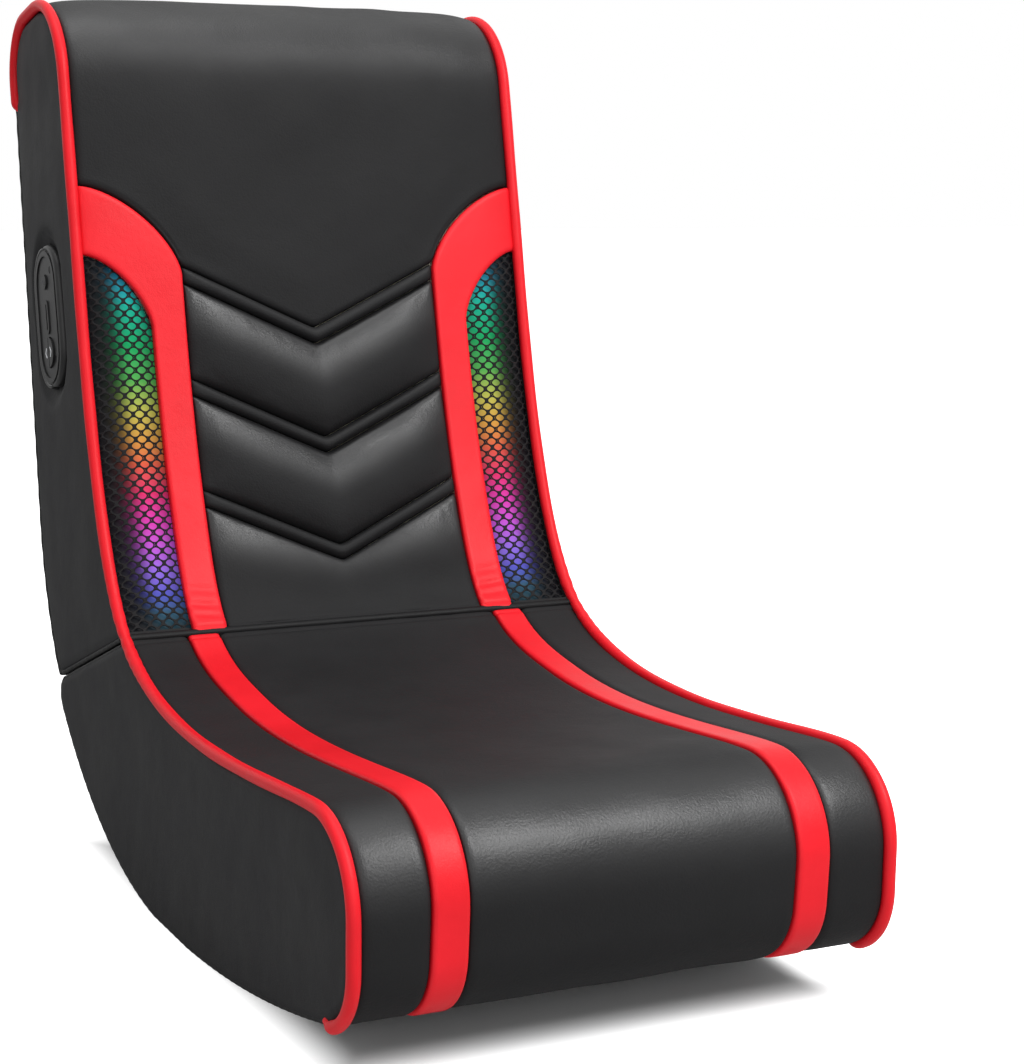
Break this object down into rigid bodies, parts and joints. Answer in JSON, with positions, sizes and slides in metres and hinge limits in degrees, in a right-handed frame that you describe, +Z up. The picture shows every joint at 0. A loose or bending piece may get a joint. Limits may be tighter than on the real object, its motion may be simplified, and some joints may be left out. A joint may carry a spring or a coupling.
{
  "type": "folding gaming rocker chair",
  "caption": "Folding floor rocker chair for gaming in black synthetic leather with red piping, light mesh along both edges of the back and a control panel on its side.",
  "frame": {"origin": "on the floor, under the middle of the chair's outer box", "axes": "+Z up, the chair faces -Y, its left side as seen from the front is -X"},
  "size_m": [0.4226, 0.822, 0.7443],
  "materials": {
    "black_leather": "satin",
    "red_leather": "satin",
    "side_cloth": "matte",
    "rear_cloth": "matte",
    "light_mesh": "matte",
    "light_strip": "gloss",
    "foam": "matte",
    "frame_wood": "matte",
    "fibreboard": "matte",
    "hinge_steel": "satin",
    "screw_steel": "satin",
    "circuit_board": "satin",
    "control_plastic": "satin"
  },
  "bodies": {
    "seat": {"seat_rocker_board_left": "frame_wood", "seat_rocker_board_right": "frame_wood", "seat_deck": "frame_wood", "seat_front_rail": "frame_wood", "seat_middle_rail": "frame_wood", "seat_rear_rail": "frame_wood", "seat_base_panel": "frame_wood", "seat_hinge_rail": "frame_wood", "seat_cushion_foam": "foam", "seat_cover_centre": "black_leather", "seat_stripe_left": "red_leather", "seat_stripe_right": "red_leather", "seat_cover_left": "black_leather", "seat_cover_right": "black_leather", "seat_base_cover": "rear_cloth", "seat_side_cover_left": "side_cloth", "seat_side_cover_right": "side_cloth", "seat_piping_left": "red_leather", "seat_piping_right": "red_leather", "hinge_seat_leaf_left": "hinge_steel", "hinge_seat_leaf_right": "hinge_steel"},
    "back": {"back_side_board_left": "frame_wood", "back_side_board_right": "frame_wood", "back_panel": "fibreboard", "back_top_rail": "frame_wood", "back_middle_rail": "frame_wood", "back_hinge_rail": "frame_wood", "back_cushion_foam": "foam", "back_edge_foam_left": "foam", "back_edge_foam_right": "foam", "lumbar_panel": "black_leather", "chevron_panel_1": "black_leather", "chevron_panel_2": "black_leather", "chevron_band_1": "black_leather", "chevron_band_2": "black_leather", "chevron_band_3": "black_leather", "head_cover": "black_leather", "arch_left": "red_leather", "light_mesh_left": "light_mesh", "light_strip_left": "light_strip", "arch_right": "red_leather", "light_mesh_right": "light_mesh", "light_strip_right": "light_strip", "back_piping_left": "red_leather", "back_piping_right": "red_leather", "back_side_cover_left": "side_cloth", "back_side_cover_right": "side_cloth", "rear_cover": "rear_cloth", "rear_binding": "rear_cloth", "power_bank_pocket": "rear_cloth", "control_bezel": "control_plastic", "control_housing": "control_plastic", "control_circuit": "circuit_board", "control_screw_upper": "screw_steel", "control_screw_lower": "screw_steel", "hinge_back_leaf_left": "hinge_steel", "hinge_back_leaf_right": "hinge_steel"},
    "power_button": {"power_button": "control_plastic"},
    "previous_button": {"previous_button": "control_plastic"},
    "next_button": {"next_button": "control_plastic"}
  },
  "joints": [
    {"name": "back_fold", "type": "hinge", "parent": "seat", "child": "back", "pos_m": [0, 0.08837, 0.21446], "axis": [1, 0, 0], "range_deg": [0, 100]},
    {"name": "power_press", "type": "slide", "parent": "back", "child": "power_button", "axis": [1, 0, 0], "range_m": [0, 0.001], "stiffness_N_per_m": 900, "springref_m": -0.0012},
    {"name": "previous_press", "type": "slide", "parent": "back", "child": "previous_button", "axis": [1, 0, 0], "range_m": [0, 0.001], "stiffness_N_per_m": 900, "springref_m": -0.0012},
    {"name": "next_press", "type": "slide", "parent": "back", "child": "next_button", "axis": [1, 0, 0], "range_m": [0, 0.001], "stiffness_N_per_m": 900, "springref_m": -0.0012}
  ]
}
